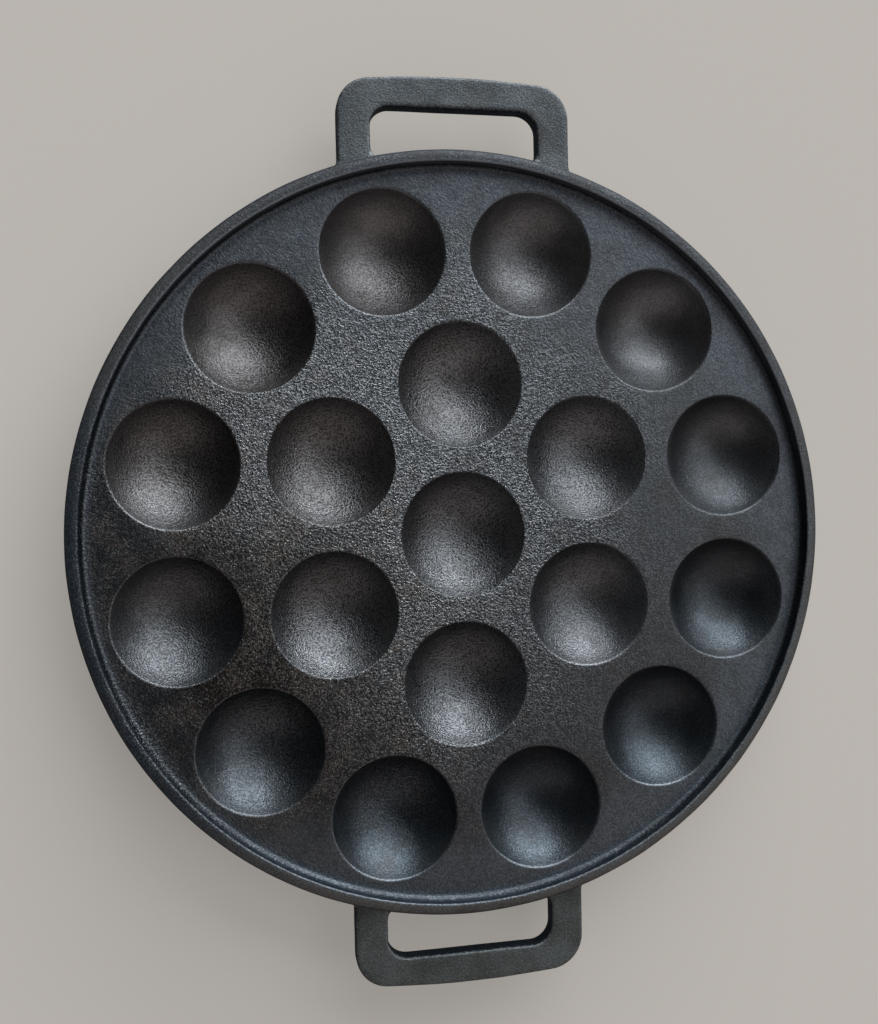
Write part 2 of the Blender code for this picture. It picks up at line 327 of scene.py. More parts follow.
def turn(casting, centre, profile, sides):
    """Turns a profile of (radius, height, wear, hollow) about an upright axis.

    It returns the rows of points. A radius of 0 ends the profile in a fan.
    """
    rows = []
    for radius, height, wear_and_highlight, hollow in profile:
        if radius == 0:
            casting.fan(rows[-1], casting.point((*centre, height), wear_and_highlight, hollow))
            break
        row = [casting.point((x, y, height), wear_and_highlight, hollow) for x, y in circle(centre, radius, sides)]
        if rows:
            casting.bridge(rows[-1], row)
        rows.append(row)
    return rows


def cut_angle(radius, height):
    """Angle below the horizontal at which a circle about a hollow's centre reaches a height."""
    return math.degrees(math.asin((SPHERE_Z - height) / radius))


def reach(radius, height):
    """Radius of the circle in which a sphere about a hollow's centre is cut at a height."""
    return math.sqrt(radius**2 - (SPHERE_Z - height) ** 2)


# Radii at which the plate's flat faces end, at a hollow's lip above and at a dome's fillet below
LIP_REACH = reach(SPHERE_RADIUS + LIP_ROUNDING, PLATE_TOP - LIP_ROUNDING)
DOME_REACH = reach(DOME_RADIUS + DOME_FILLET, PLATE_UNDERSIDE - DOME_FILLET)


def lip_profile():
    """The lip's rounding and the hollow's wall inside the plate."""
    tangent = cut_angle(SPHERE_RADIUS + LIP_ROUNDING, PLATE_TOP - LIP_ROUNDING)
    lip_centre = (LIP_REACH, PLATE_TOP - LIP_ROUNDING)
    lip = arc(lip_centre, (LIP_ROUNDING,) * 2, 90, 180 - tangent, steps=len(LIP_WEAR) - 1)
    wall_end = cut_angle(SPHERE_RADIUS, PLATE_UNDERSIDE)
    wall = arc((0, SPHERE_Z), (SPHERE_RADIUS,) * 2, -tangent, -wall_end, steps=4)
    profile = [(r, z, wear_and_highlight, hollow) for (r, z), wear_and_highlight, hollow in zip(lip, LIP_WEAR, LIP_HOLLOW)]
    return profile + [(r, z, 0.0, 1.0) for r, z in wall[1:]]


def bowl_profile():
    """The hollow's wall below the plate, down to its lowest point."""
    wall_start = cut_angle(SPHERE_RADIUS, PLATE_UNDERSIDE)
    wall = arc((0, SPHERE_Z), (SPHERE_RADIUS,) * 2, -wall_start, HOLLOW_LAST_ANGLE, steps=16)
    return [(r, z, 0.0, 1.0) for r, z in wall] + [(0, SPHERE_Z - SPHERE_RADIUS, 0.0, 1.0)]


def dome_profile():
    """The outside of a bowl, from the fillet under the plate down to its lowest point."""
    tangent = cut_angle(DOME_RADIUS + DOME_FILLET, PLATE_UNDERSIDE - DOME_FILLET)
    fillet_centre = (DOME_REACH, PLATE_UNDERSIDE - DOME_FILLET)
    fillet = arc(fillet_centre, (DOME_FILLET,) * 2, 90, 180 - tangent, steps=4)
    dome = arc((0, SPHERE_Z), (DOME_RADIUS,) * 2, -tangent, DOME_LAST_ANGLE, steps=13)[1:]
    return [(r, z, 0.0, 0.0) for r, z in fillet + dome] + [(0, SPHERE_Z - DOME_RADIUS, 0.0, 0.0)]


def add_plate(casting):
    """The flat faces of the plate with the hollows' lips, and its edge inside the wall."""
    casting.part = "griddle_plate"
    flat_face(casting, PLATE_TOP, LIP_REACH)
    flat_face(casting, PLATE_UNDERSIDE, DOME_REACH)
    for centre in HOLLOW_CENTRES:
        turn(casting, centre, lip_profile(), HOLLOW_SIDES)
    edge = [
        [casting.point((x, y, height)) for x, y in circle((0, 0), FLOOR_RADIUS, WALL_SIDES)]
        for height in (PLATE_TOP, PLATE_UNDERSIDE)
    ]
    casting.bridge(*edge, closes=("griddle_plate", "outer_wall"))


def add_bowls(casting):
    """Each hollow below the plate, and the ring in which it joins the plate."""
    for name, centre in zip(BOWL_NAMES, HOLLOW_CENTRES):
        casting.part = name
        inside = turn(casting, centre, bowl_profile(), HOLLOW_SIDES)
        outside = turn(casting, centre, dome_profile(), HOLLOW_SIDES)
        casting.bridge(inside[0], outside[0], closes=("griddle_plate", name))


def flat_face(casting, height, hole_radius):
    """A flat face of the plate between the hollows, with an even net of points across it."""
    points = circle((0, 0), FLOOR_RADIUS, WALL_SIDES)
    edges = closed_edges(0, WALL_SIDES)
    for centre in HOLLOW_CENTRES:
        edges += closed_edges(len(points), HOLLOW_SIDES)
        points += circle(centre, hole_radius, HOLLOW_SIDES)

    def clear(x, y, margin):
        if math.hypot(x, y) > FLOOR_RADIUS - margin:
            return False
        return all(math.hypot(x - cx, y - cy) > hole_radius + margin for cx, cy in HOLLOW_CENTRES)

    row_step = GRID_STEP * math.sqrt(0.75)
    rows = int(FLOOR_RADIUS / row_step) + 1
    columns = int(FLOOR_RADIUS / GRID_STEP) + 1
    for row in range(-rows, rows + 1):
        for column in range(-columns, columns + 1):
            x, y = (column + (row % 2) / 2) * GRID_STEP, row * row_step
            if clear(x, y, GRID_MARGIN):
                points.append((x, y))
    casting.sheet(points, edges, lambda p: (*p, height), lambda m: () if clear(*m, 0.0) else None)


def wall_radius(height):
    """Radius of the drafted outer face of the skirt at a height."""
    return OUTER_RADIUS - (SHOULDER_Z - height) * math.tan(SKIRT_DRAFT)


def rim_profile():
    """From the plate's edge up the fillet, over the rim and down to where the outer side begins."""
    fillet = arc((FLOOR_RADIUS, PLATE_TOP + RIM_FILLET), (RIM_FILLET,) * 2, -90, 0, steps=8)
    crest_radius = RIM_INNER_RADIUS + RIM_INNER_ROUNDING
    crest_centre = (crest_radius, RIM_TOP - RIM_INNER_ROUNDING)
    crest = arc(crest_centre, (RIM_INNER_ROUNDING,) * 2, 180, 90, steps=len(CREST_WEAR) - 1)
    shoulder_axes = (OUTER_RADIUS - crest_radius, RIM_SHOULDER_DROP)
    shoulder = arc((crest_radius, SHOULDER_Z), shoulder_axes, 90, 0, steps=14)[1:]
    profile = [(r, z, 0.0, 0.0) for r, z in fillet]
    profile += [(r, z, wear_and_highlight, 0.0) for (r, z), wear_and_highlight in zip(crest, CREST_WEAR)]
    return profile + [(r, z, 0.0, 0.0) for r, z in shoulder]


def foot_profile():
    """From the foot of the outer side, round the ring that the pan stands on and up inside the skirt."""
    foot_outer = wall_radius(FOOT_ROUNDING)
    rounding = (FOOT_ROUNDING,) * 2
    outer = arc((foot_outer - FOOT_ROUNDING, FOOT_ROUNDING), rounding, 0, -90, steps=4)
    inner = arc((SKIRT_INNER_RADIUS + FOOT_ROUNDING, FOOT_ROUNDING), rounding, -90, -180, steps=4)
    inside_top = (SKIRT_INNER_RADIUS, PLATE_UNDERSIDE - SKIRT_FILLET)
    inside = line(inner[-1], inside_top, steps=6)[1:-1]
    fillet = arc((FLOOR_RADIUS, inside_top[1]), (SKIRT_FILLET,) * 2, 0, 90, steps=5)
    middle = [((outer[-1][0] + inner[0][0]) / 2, 0.0)]
    points = outer + middle + inner + inside + fillet
    return [(r, z, EDGE_WEAR if z < FOOT_ROUNDING else 0.0, 0.0) for r, z in points]


def in_patch(column):
    """Whether a column of the outer side belongs to the patch round one of the four handle arms."""
    folded = column % (WALL_SIDES // 2)
    return min(folded, WALL_SIDES // 2 - 1 - folded) in PATCH_COLUMNS[:-1]


def add_wall(casting):
    """Rim, skirt and standing ring. The outer side is left open where the handle arms' patches go."""
    casting.part = "outer_wall"
    turn(casting, (0, 0), rim_profile(), WALL_SIDES)
    turn(casting, (0, 0), foot_profile(), WALL_SIDES)
    rows = []
    for height in SIDE_ROWS:
        ring = circle((0, 0), wall_radius(height), WALL_SIDES)
        rows.append([casting.point((x, y, height)) for x, y in ring])
    for upper, lower in zip(rows, rows[1:]):
        for column in range(WALL_SIDES):
            if not in_patch(column):
                after = (column + 1) % WALL_SIDES
                casting.face((upper[column], upper[after], lower[after], lower[column]))


def section_marks():
    """A handle's section, all the way round.

    Each mark is its share of the width, its offset across, its height and the way outwards. Each corner is
    the same three places for the middle of a rounded edge, and the angle at which its rounding begins.
    """
    rounding = HANDLE_EDGE_ROUNDING
    top, bottom = HANDLE_TOP - rounding, HANDLE_UNDERSIDE + rounding
    corners = (
        (1, -rounding, bottom, -90),
        (1, -rounding, top, 0),
        (0, rounding, top, 90),
        (0, rounding, bottom, 180),
    )
    edge_steps = 4
    marks = []
    for index, (share, across, height, start) in enumerate(corners):
        for step in range(edge_steps + 1):
            angle = math.radians(start + 90 * step / edge_steps)
            outward = (math.cos(angle), math.sin(angle))
            marks.append((share, across + rounding * outward[0], height + rounding * outward[1], outward))
        following = corners[(index + 1) % len(corners)]
        last = marks[-1]
        target = (following[0], following[1] + rounding * last[3][0], following[2] + rounding * last[3][1])
        for between in line(last[:3], target, steps=8 if following[0] != share else 3)[1:-1]:
            marks.append((*between, last[3]))
    return marks


def handle_stations():
    """Right half of the loop in plan view, as pairs of a point on the slot's side and one on the outside."""
    slot_side = HANDLE_HALF_WIDTH - HANDLE_ARM_WIDTH
    slot_end = HANDLE_END - HANDLE_BAR_WIDTH
    slot_centre = (slot_side - HANDLE_SLOT_RADIUS, slot_end - HANDLE_SLOT_RADIUS)
    corner_x = HANDLE_HALF_WIDTH - HANDLE_CORNER_RADIUS
    corner_centre = (corner_x, HANDLE_END - HANDLE_CROWN - HANDLE_CORNER_RADIUS)
    inner = line((slot_side, ARM_START), (slot_side, slot_centre[1]), steps=3)[:-1]
    outer = line((HANDLE_HALF_WIDTH, ARM_START), (HANDLE_HALF_WIDTH, corner_centre[1]), steps=3)[:-1]
    inner += arc(slot_centre, (HANDLE_SLOT_RADIUS,) * 2, 0, 90, steps=12)
    outer += arc(corner_centre, (HANDLE_CORNER_RADIUS,) * 2, 0, 90, steps=12)
    inner += line((slot_centre[0], slot_end), (0.0, slot_end), steps=8)[1:]
    for x, y in line((corner_x, HANDLE_END), (0.0, HANDLE_END), steps=8)[1:]:
        outer.append((x, y - HANDLE_CROWN * (x / corner_x) ** 2))
    return list(zip(inner, outer))


def root_curve(mark):
    """From a handle arm's side round the fillet at its root to the wall."""
    share, offset, height, outward = mark
    x = HANDLE_HALF_WIDTH - HANDLE_ARM_WIDTH * (1 - share) + offset
    sideways = ROOT_FILLET_OUTSIDE if share == 1 else ROOT_FILLET_SLOT
    spread = Vector((outward[0] * sideways, outward[1] * ROOT_FILLET_UPWARD))
    end_x, end_z = x + spread.x, height + spread.y
    corner = Vector((x, math.sqrt(wall_radius(height) ** 2 - x**2), height))
    end = Vector((end_x, math.sqrt(wall_radius(end_z) ** 2 - end_x**2), end_z))
    start = corner + Vector((0, spread.length, 0))
    steps = len(ROOT_HIGHLIGHT) - 1
    shares = [step / steps for step in range(steps + 1)]
    return [start * (1 - t) ** 2 + corner * (2 * t * (1 - t)) + end * t**2 for t in shares]


def add_arm(casting, name, mirror_x, mirror_y):
    """One half of a loop handle with the fillet at its root, and the patch of wall round that."""

    def lift(x, y, z):
        return (x * mirror_x, y * mirror_y, z)

    casting.part = name
    marks = section_marks()
    rows = []
    for slot_side, outside in handle_stations():
        a, b = Vector(slot_side), Vector(outside)
        across = (b - a).normalized()
        row = []
        for share, offset, height, outward in marks:
            spot = a.lerp(b, share) + across * offset
            edge = min(1.0, 4 * abs(outward[0] * outward[1]))
            row.append(casting.point(lift(spot.x, spot.y, height), EDGE_WEAR * edge))
        rows.append(row)
    curves = [root_curve(mark) for mark in marks]
    root_rows = []
    for step, wear_and_highlight in enumerate(ROOT_HIGHLIGHT):
        root_rows.append([casting.point(lift(*curve[step]), wear_and_highlight) for curve in curves])
    rows = root_rows[::-1] + rows
    for first, second in zip(rows, rows[1:]):
        casting.bridge(first, second)
    add_patch(casting, name, [curve[-1] for curve in curves], lift)


def add_patch(casting, name, root, lift):
    """The stretch of outer side round a handle arm's root, flat when it is unrolled."""
    casting.part = "outer_wall"
    columns = [math.tau * column / WALL_SIDES * OUTER_RADIUS for column in PATCH_COLUMNS]
    border = [(columns[0], z) for z in SIDE_ROWS[:-1]]
    border += [(x, SIDE_ROWS[-1]) for x in columns[:-1]]
    border += [(columns[-1], z) for z in reversed(SIDE_ROWS[1:])]
    border += [(x, SIDE_ROWS[0]) for x in reversed(columns[1:])]
    outline = [(math.atan2(p.y, p.x) * OUTER_RADIUS, p.z) for p in root]
    edges = closed_edges(0, len(border)) + closed_edges(len(border), len(outline))
    low = [min(p[axis] for p in outline) - PATCH_MARGIN for axis in (0, 1)]
    high = [max(p[axis] for p in outline) + PATCH_MARGIN for axis in (0, 1)]
    net = [(x, z) for x in columns[1:-1] for z in SIDE_ROWS[1:-1]]
    around = [p for p in net if not (low[0] < p[0] < high[0] and low[1] < p[1] < high[1])]

    def place(p):
        angle = p.x / OUTER_RADIUS
        return lift(wall_radius(p.y) * math.cos(angle), wall_radius(p.y) * math.sin(angle), p.y)

    def closes(middle):
        return ("outer_wall", name) if is_inside(outline, *middle) else ()

    casting.sheet(border + outline + around, edges, place, closes)


def is_inside(outline, x, y):
    """Whether a point lies inside a closed outline."""
    found = False
    for (ax, ay), (bx, by) in zip(outline, outline[1:] + outline[:1]):
        if (ay > y) != (by > y) and x < ax + (y - ay) * (bx - ax) / (by - ay):
            found = not found
    return found


def turn_faces_out(mesh):
    """Turns the mesh's faces outwards and returns how many of its edges are open."""
    bm = bmesh.new()
    bm.from_mesh(mesh)
    bmesh.ops.recalc_face_normals(bm, faces=bm.faces)
    open_edges = sum(not edge.is_manifold for edge in bm.edges)
    bm.to_mesh(mesh)
    bm.free()
    return open_edges


def unevenness(place):
    """How far the cast skin stands above its true shape, none at the ring that the pan stands on."""
    height = sum(noise.noise(place / wavelength) * swing for wavelength, swing in UNEVENNESS)
    return height * min(1.0, place.z / EVEN_BELOW)


def roughen(casting):
    """Lifts each point by the unevenness, and returns the smooth normal at each point of the whole pan."""
    whole = bpy.data.meshes.new("whole_casting")
    whole.from_pydata(casting.points, [], [corners for _, corners in casting.faces])
    print("whole casting:", len(casting.faces), "faces,", turn_faces_out(whole), "open edges")
    outward = [normal.vector.copy() for normal in whole.vertex_normals]
    casting.points = [place + way * unevenness(place) for place, way in zip(casting.points, outward)]
    whole.vertices.foreach_set("co", [value for place in casting.points for value in place])
    whole.update()
    normals = [normal.vector.copy() for normal in whole.vertex_normals]
    bpy.data.meshes.remove(whole)
    return normals


def build_piece(casting, normals, node):
    """One named piece, closed inside the iron and shaded as one surface with its neighbours."""
    shown = [corners for part, corners in casting.faces if part == node]
    hidden = [corners for part, corners in casting.hidden if part == node]
    used = sorted({index for corners in shown + hidden for index in corners})
    number = {index: position for position, index in enumerate(used)}
    faces = [[number[index] for index in corners] for corners in shown + hidden]
    mesh = bpy.data.meshes.new("iron_" + node)
    mesh.from_pydata([casting.points[index] for index in used], [], faces)
    for name, values in (("wear_and_highlight", casting.wear_and_highlight), ("hollow", casting.hollow)):
        layer = mesh.attributes.new(name, "FLOAT", "POINT")
        layer.data.foreach_set("value", [values[index] for index in used])
    open_edges = turn_faces_out(mesh)
    if open_edges:
        print(node, "has", open_edges, "open edges")
    mesh.shade_smooth()
    corner_normals = []
    for polygon in mesh.polygons:
        for position in polygon.vertices:
            inner = polygon.index >= len(shown)
            corner_normals.append(polygon.normal if inner else normals[used[position]])
    mesh.normals_split_custom_set(corner_normals)
    piece = bpy.data.objects.new("iron_" + node, mesh)
    bpy.context.scene.collection.objects.link(piece)
    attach(piece, "root")
    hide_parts(node)
    return piece


def build_pan(material):
    """The whole pan as one seamless casting, cut into a piece for each node."""
    casting = Casting()
    add_plate(casting)
    add_bowls(casting)
    add_wall(casting)
    for mirror_x in (1, -1):
        add_arm(casting, "loop_handle_back", mirror_x, 1)
        add_arm(casting, "loop_handle_front", mirror_x, -1)
    casting.weld()
    normals = roughen(casting)
    for node in sorted({part for part, _ in casting.faces}):
        piece = build_piece(casting, normals, node)
        piece.data.materials.append(material)


class Finish:
    """A material's node tree, with short calls for the nodes that the finishes are made of."""

    def __init__(self, name):
        self.material = bpy.data.materials.new(name)
        self.material.use_nodes = True
        self.tree = self.material.node_tree
        self.shader = self.tree.nodes["Principled BSDF"]
        self.place = self.add("ShaderNodeTexCoord").outputs["Object"]

    def add(self, kind, inputs=(), **settings):
        """A new node with its sockets fed and its settings made."""
        node = self.tree.nodes.new(kind)
        for name, value in settings.items():
            setattr(node, name, value)
        for key, value in dict(inputs).items():
            self.feed(node.inputs[key], value)
        return node

    def feed(self, socket, value):
        """Sets a socket to a number or a colour, or links it to another socket."""
        if isinstance(value, bpy.types.NodeSocket):
            self.tree.links.new(value, socket)
        elif isinstance(value, tuple) and len(value) == 3 and socket.type == "RGBA":
            socket.default_value = (*value, 1.0)
        else:
            socket.default_value = value

    def noise(self, size, detail=2.0, roughness=0.5):
        """Noise whose blobs are about as large as size, from 0 to 1."""
        inputs = {"Vector": self.place, "Scale": 1 / size, "Detail": detail, "Roughness": roughness}
        return self.add("ShaderNodeTexNoise", inputs).outputs["Fac"]

    def attribute(self, name):
        return self.add("ShaderNodeAttribute", attribute_name=name).outputs["Fac"]

    def span(self, value, low, high, to_low=0.0, to_high=1.0):
        """Spreads low to high over to_low to to_high with soft ends, and holds it there beyond."""
        inputs = {"Value": value, "From Min": low, "From Max": high, "To Min": to_low, "To Max": to_high}
        node = self.add("ShaderNodeMapRange", inputs, interpolation_type="SMOOTHSTEP")
        return node.outputs["Result"]

    def math(self, operation, first, second=0.0, clamp=False):
        node = self.add("ShaderNodeMath", {0: first, 1: second}, operation=operation, use_clamp=clamp)
        return node.outputs["Value"]

    def both(self, first, second):
        """Multiplies two numbers, such as masks that both have to hold."""
        return self.math("MULTIPLY", first, second)

    def flip(self, value):
        """One minus a number, which turns a mask inside out."""
        return self.math("SUBTRACT", 1.0, value)

    def blend(self, share, first, second):
        """Mixes two numbers."""
        return self.add("ShaderNodeMix", {0: share, 2: first, 3: second}).outputs[0]

    def scale(self, colour, factor):
        """Multiplies a colour by a number."""
        return self.add("ShaderNodeVectorMath", {0: colour, 3: factor}, operation="SCALE").outputs[0]

    def tint(self, colour, shares):
        """Multiplies a colour by another."""
        return self.add("ShaderNodeVectorMath", {0: colour, 1: shares}, operation="MULTIPLY").outputs[0]

    def mix(self, share, first, second):
        """Mixes two colours."""
        node = self.add("ShaderNodeMix", data_type="RGBA")
        self.feed(node.inputs[0], share)
        self.feed(node.inputs[6], first)
        self.feed(node.inputs[7], second)
        return node.outputs[2]

    def distance(self, place):
        """Distance of a surface point from a place, in metres."""
        node = self.add("ShaderNodeVectorMath", {0: self.place, 1: place}, operation="DISTANCE")
        return node.outputs["Value"]

    def from_axis(self):
        """The surface point's distance from the pan's axis."""
        flat = self.tint(self.place, (1, 1, 0))
        return self.add("ShaderNodeVectorMath", {0: flat}, operation="LENGTH").outputs["Value"]

    def along(self, direction):
        """How far a surface point lies along a direction from the pan's axis."""
        node = self.add("ShaderNodeVectorMath", {0: self.place, 1: direction}, operation="DOT_PRODUCT")
        return node.outputs["Value"]

    def upward(self):
        """How far the surface faces up, from -1 to 1."""
        normal = self.add("ShaderNodeNewGeometry").outputs["Normal"]
        return self.add("ShaderNodeSeparateXYZ", {0: normal}).outputs[2]

    def bump(self, height, distance, normal=None):
        """The normal of a relief, on top of another if one is given."""
        inputs = {"Height": height, "Distance": distance}
        if normal:
            inputs["Normal"] = normal
        return self.add("ShaderNodeBump", inputs).outputs["Normal"]


class IronFinish(Finish):
    """Black seasoned cast iron, as a dark metal: how much it reflects is its base colour.

    It has a sandy grain and a painted sheen that makes it lighter and blue-grey towards the back, and it is
    brown-black at the front left, where oil has baked on and shade is painted. It starts with the noises and
    masks that its colour, roughness and relief share.
    """

    def __init__(self):
        super().__init__("seasoned_iron")
        self.hollow = self.attribute("hollow")
        self.past_rim = self.math("SUBTRACT", self.from_axis(), RIM_INNER_RADIUS)
        self.blotches = self.noise(BLOTCH_SIZE, detail=3.0)
        self.sand = self.noise(SAND_SIZE, roughness=0.6)
        self.drift = self.both(self.math("SUBTRACT", self.noise(BORDER_SIZE), 0.5), BORDER_DRIFT)
        # Painted light: 0 on the window's side of the pan and 1 far from it, for colours painted lighter and
        # bluer where the window's sheen falls
        self.painted_window_falloff = self.span(self.distance(WINDOW_SIDE), *WINDOW_FADES)
        self.left_edge = self.field(*LEFT_EDGE)
        on_plate = self.flip(self.math("MAXIMUM", self.hollow, self.span(self.past_rim, *OFF_PLATE)))
        # Baked-on oil at the front left, which also carries painted shade: the plate is darkened there
        self.oily_and_shaded = self.both(self.field(*OILY_AND_SHADED_PLATE), on_plate)
        self.sandy = self.both(self.field(*SANDY_PLATE, low=0.18), self.span(self.oily_and_shaded, 0.0, 1.0, 1.0, 0.4))
        self.sandy_hollows = self.field(*SANDY_HOLLOWS, low=0.33)
        self.specks = self.both(self.field(*SPECKLED_PLATE), on_plate)
        rusty = self.both(self.specks, self.span(self.blotches, 0.46, 0.64))
        self.rust = self.both(self.span(self.noise(RUST_SIZE, detail=1.0), 0.56, 0.70), rusty)

    def field(self, x, y, inner, outer, high=1.0, low=0.0):
        """High near a place on the plate and low far from it, with a border that wanders."""
        distance = self.math("ADD", self.distance((x, y, PLATE_TOP)), self.drift)
        return self.span(distance, inner, outer, high, low)

    def ring(self, start, inner, outer, end):
        """High on a ring about the pan's axis, measured from the rim's inner face."""
        rise = self.span(self.past_rim, start, inner)
        fall = self.span(self.past_rim, outer, end, 1.0, 0.0)
        return self.both(rise, fall)

    def painted_light_zone(self, back, front, left):
        """Painted light and shade: a colour from the lit back of the pan to its front, with another along
        the left edge.
        """
        return self.mix(self.left_edge, self.mix(self.painted_window_falloff, back, front), left)

    def outer_colour(self):
        """The plate, the fillet inside the rim, the rim and the handles, with painted light: the plate
        lighter towards the back and bluer towards the rim, a highlight painted on the fillet at the front,
        shade painted on the rim's shoulder at the back, and the front handle painted lighter than the back
        one.
        """
        colour = self.mix(self.oily_and_shaded, self.mix(self.painted_window_falloff, *PLATE_PAINTED_SHEEN), OIL_AND_SHADE)
        colour = self.mix(self.span(self.past_rim, *NEAR_RIM), colour, self.painted_light_zone(*NEAR_RIM_PAINTED_SHEEN))
        colour = self.mix(self.ring(*FILLET_RING), colour, self.painted_light_zone(*FILLET_PAINTED_LIGHT))
        colour = self.mix(self.span(self.past_rim, *SHOULDER), colour, self.painted_light_zone(*SHOULDER_PAINTED_LIGHT))
        patchy = self.span(self.noise(HANDLE_PATCH_SIZE), 0.35, 0.65)
        back_handle = self.mix(patchy, *BACK_HANDLE_COLOURS)
        front_handle = self.mix(patchy, *FRONT_HANDLE_COLOURS)
        handles = self.mix(self.painted_window_falloff, back_handle, front_handle)
        return self.mix(self.span(self.past_rim, *HANDLES), colour, handles)

    def hollow_colour(self):
        """The hollows, painted lighter towards the back left and in the inner ring as painted light, and
        browner at the back left.
        """
        painted_hollow_light = self.span(self.along(BACK_LEFT), -HOLLOWS_REACH, HOLLOWS_REACH)
        inner = self.mix(painted_hollow_light, *INNER_HOLLOW_COLOURS)
        outer = self.mix(painted_hollow_light, *OUTER_HOLLOW_COLOURS)
        colour = self.mix(self.span(self.past_rim, *OUTER_HOLLOWS), inner, outer)
        return self.mix(self.field(*BROWN_HOLLOWS), colour, self.tint(colour, BROWN_TINT))

    def grained_and_shaded(self, colour):
        """A colour with the sandy grain in it, partly as painted shade in its pits and painted light on its
        tops, and large brown blotches over it.
        """
        # The grain's pits are painted darker and its tops lighter, as painted shade and light
        grain = self.scale(colour, self.span(self.sand, 0.36, 0.64, 0.45, 1.50))
        outside_hollows = self.span(self.sandy, 0.0, 0.8, 0.3, 1.0)
        share = self.blend(self.hollow, outside_hollows, self.sandy_hollows)
        colour = self.mix(share, colour, grain)
        return self.mix(self.span(self.blotches, 0.45, 0.75, 0.0, 0.35), colour, BLOTCH)

    def with_painted_shade(self, colour):
        """A colour with painted shade on steep faces and underneath, and with painted shade in the crease
        inside the rim.
        """
        upward = self.upward()
        steep = self.both(self.span(self.past_rim, *STEEP_RIM), self.span(upward, 0.50, 0.82, 1.0, 0.0))
        underneath = self.span(upward, -0.3, 0.0, 1.0, 0.0)
        # Painted shade: steep faces and faces turned down are darkened
        colour = self.mix(self.math("MAXIMUM", steep, underneath), colour, PAINTED_SHADE)
        # Painted shade: the crease inside the rim is darkened
        return self.scale(colour, self.span(self.ring(*CREASE_SHADE_RING), 0.0, 1.0, 1.0, 0.42))

    def highlighted(self, colour):
        """A colour with a painted highlight on the rim's inner edge at the back, and lighter peaks where it
        is sandy, which are partly worn tops and partly painted glints.
        """
        # Painted highlight along the rim's inner edge, strongest at the back
        edge_highlight = self.both(self.ring(*EDGE_HIGHLIGHT_RING), self.span(self.painted_window_falloff, 0.1, 0.6, 0.6, 0.0))
        colour = self.mix(edge_highlight, colour, PAINTED_EDGE_HIGHLIGHT)
        # The lighter peaks are partly worn tops of the grain and partly painted glints
        return self.mix(self.both(self.span(self.sand, 0.54, 0.64), self.sandy), colour, WORN_PEAK_AND_GLINT)

    def speckled(self, colour):
        """A colour with painted glints and rusty specks on the plate at the left."""
        # Painted highlights: bright glints on the plate at the left
        glinting = self.both(self.specks, self.span(self.blotches, 0.35, 0.6, 0.3, 1.0))
        glints = self.both(self.span(self.noise(GLINT_SIZE, detail=1.0), 0.54, 0.68), glinting)
        colour = self.mix(glints, colour, PAINTED_GLINT)
        return self.mix(self.rust, colour, RUST)

    def scuffed_and_highlighted(self, colour):
        """A colour with scuffs along worn edges and a painted highlight along the handles' roots, and with
        the hollows' lips darkened at the right as painted shade.
        """
        scuffs_and_highlight = self.both(self.attribute("wear_and_highlight"), self.span(self.sand, 0.42, 0.62))
        scuffs_and_highlight = self.both(scuffs_and_highlight, self.span(self.blotches, 0.40, 0.60, 0.3, 1.0))
        # Scuffs on worn edges, and a painted highlight in the fillet at the handles' roots
        colour = self.mix(scuffs_and_highlight, colour, SCUFF_AND_HIGHLIGHT)
        # Painted shade: the hollows' lips at the right are darkened, which dims their highlight
        lips = self.both(self.span(self.hollow, 0.0, 0.2), self.span(self.hollow, 0.5, 0.9, 1.0, 0.0))
        return self.scale(colour, self.flip(self.both(lips, self.field(*SHADED_LIPS, high=0.45))))

    def roughness(self):
        """Rougher on blotches, rust and the rim and where sand is thin, glossier in hollows and on oil."""
        roughness = self.span(self.blotches, 0.3, 0.7, 0.37, 0.45)
        roughness = self.math("ADD", roughness, self.span(self.sandy, 0.0, 1.0, 0.07, 0.0))
        roughness = self.math("SUBTRACT", roughness, self.both(self.hollow, 0.02))
        roughness = self.math("SUBTRACT", roughness, self.both(self.oily_and_shaded, 0.06))
        roughness = self.math("ADD", roughness, self.both(self.rust, 0.2))
        return self.math("ADD", roughness, self.span(self.past_rim, *ROUGH_RIM, 0.0, 0.15), clamp=True)

    def relief(self):
        """Long low waves, with the sand on top of them, flatter in the hollows."""
        waves = self.bump(self.noise(WAVE_SIZE, detail=1.0), WAVE_HEIGHT)
        share = self.blend(self.hollow, self.sandy, self.both(self.sandy_hollows, 0.40))
        return self.bump(self.both(self.sand, share), SAND_HEIGHT, waves)


def seasoned_iron():
    """The iron's material. A darker specular tint keeps the metal from glaring at low angles."""
    f = IronFinish()
    colour = f.mix(f.hollow, f.outer_colour(), f.hollow_colour())
    for layer in (f.grained_and_shaded, f.with_painted_shade, f.highlighted, f.speckled, f.scuffed_and_highlighted):
        colour = layer(colour)
    f.feed(f.shader.inputs["Base Color"], colour)
    f.feed(f.shader.inputs["Metallic"], 1.0)
    f.feed(f.shader.inputs["Specular Tint"], (0.5, 0.5, 0.5))
    f.feed(f.shader.inputs["Roughness"], f.roughness())
    f.feed(f.shader.inputs["Normal"], f.relief())
    return f.material


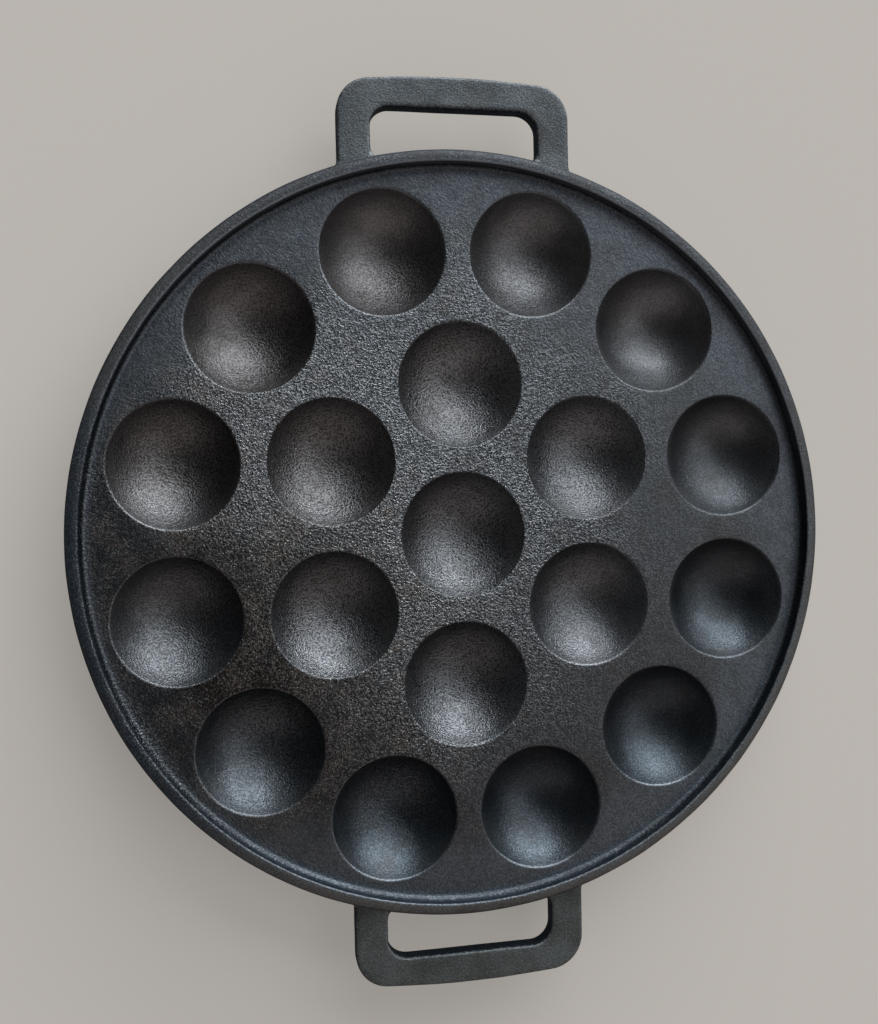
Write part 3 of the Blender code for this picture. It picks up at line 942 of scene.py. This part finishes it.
def pale_floor():
    """A pale floor that takes shadows. Half of its look is a glow of its own, which keeps them light."""
    f = Finish("pale_floor")
    f.feed(f.shader.inputs["Base Color"], FLOOR_COLOUR)
    f.feed(f.shader.inputs["Roughness"], 0.8)
    f.feed(f.shader.inputs["Specular IOR Level"], 0.0)
    rays = f.add("ShaderNodeLightPath").outputs
    reflected = f.math("ADD", rays["Is Glossy Ray"], rays["Is Transmission Ray"])
    seen = f.math("ADD", rays["Is Camera Ray"], reflected, clamp=True)
    f.feed(f.shader.inputs["Emission Color"], FLOOR_GLOW)
    f.feed(f.shader.inputs["Emission Strength"], f.both(seen, GLOW_STRENGTH))
    return f.material


def add_floor():
    half = FLOOR_HALF_WIDTH
    corners = [(-half, -half, 0), (half, -half, 0), (half, half, 0), (-half, half, 0)]
    mesh = bpy.data.meshes.new("studio_floor")
    mesh.from_pydata(corners, [], [(0, 1, 2, 3)])
    mesh.materials.append(pale_floor())
    floor = bpy.data.objects.new("studio_floor", mesh)
    bpy.context.scene.collection.objects.link(floor)


def add_softbox(name, azimuth, elevation, spans, radiance, colour):
    """A far area lamp that faces the pan.

    Azimuth runs from +X towards +Y. Spans are the angles that the lamp fills as seen from the pan, sideways
    and upwards, and radiance is how bright it looks from there. Angles are in degrees.
    """
    a, e = math.radians(azimuth), math.radians(elevation)
    towards = Vector((math.cos(a) * math.cos(e), math.sin(a) * math.cos(e), math.sin(e)))
    lamp = bpy.data.lights.new(name, "AREA")
    lamp.shape = "RECTANGLE"
    lamp.size, lamp.size_y = (2 * LAMP_DISTANCE * math.tan(math.radians(span) / 2) for span in spans)
    lamp.energy = radiance * math.pi * lamp.size * lamp.size_y
    lamp.color = colour
    softbox = bpy.data.objects.new(name, lamp)
    softbox.location = towards * LAMP_DISTANCE
    softbox.rotation_mode = "QUATERNION"
    softbox.rotation_quaternion = towards.to_track_quat("Z", "Y")
    softbox.visible_camera = False
    bpy.context.scene.collection.objects.link(softbox)


def add_world():
    """A dark world that glows along the horizon."""
    world = bpy.data.worlds.new("studio")
    world.use_nodes = True
    nodes, links = world.node_tree.nodes, world.node_tree.links
    height = nodes.new("ShaderNodeSeparateXYZ")
    links.new(nodes.new("ShaderNodeTexCoord").outputs["Generated"], height.inputs[0])
    above_horizon = nodes.new("ShaderNodeMapRange")
    above_horizon.inputs["From Min"].default_value = HORIZON_FADES[0]
    above_horizon.inputs["From Max"].default_value = HORIZON_FADES[1]
    links.new(height.outputs["Z"], above_horizon.inputs["Value"])
    colour = nodes.new("ShaderNodeMix")
    colour.data_type = "RGBA"
    links.new(above_horizon.outputs["Result"], colour.inputs[0])
    colour.inputs[6].default_value = HORIZON_COLOUR
    colour.inputs[7].default_value = SKY_COLOUR
    links.new(colour.outputs[2], nodes["Background"].inputs["Color"])
    bpy.context.scene.world = world


def light_scene():
    """A low and a high window at the back, the sky above them and a warm room in front."""
    add_softbox("low_window", azimuth=68, elevation=9, spans=(60, 17), radiance=18.0, colour=WINDOW_LIGHT)
    add_softbox("high_window", azimuth=64, elevation=30, spans=(70, 24), radiance=5.5, colour=WINDOW_LIGHT)
    add_softbox("sky", azimuth=40, elevation=57, spans=(90, 30), radiance=1.3, colour=SKY_LIGHT)
    add_softbox("room", azimuth=285, elevation=38, spans=(105, 50), radiance=0.5, colour=ROOM_LIGHT)
    add_world()


def add_camera():
    data = bpy.data.cameras.new("photo_camera")
    data.sensor_width = CAMERA_SENSOR
    data.lens = CAMERA_LENS
    data.clip_start = CAMERA_NEAR
    camera = bpy.data.objects.new("photo_camera", data)
    axes = Matrix((CAMERA_RIGHT, CAMERA_UP, CAMERA_BACK)).transposed()
    camera.matrix_world = Matrix.Translation(CAMERA_PLACE) @ axes.to_4x4()
    bpy.context.scene.collection.objects.link(camera)
    bpy.context.scene.camera = camera


build_pan(seasoned_iron())
add_floor()
light_scene()
add_camera()
bpy.context.scene.view_settings.view_transform = "Standard"
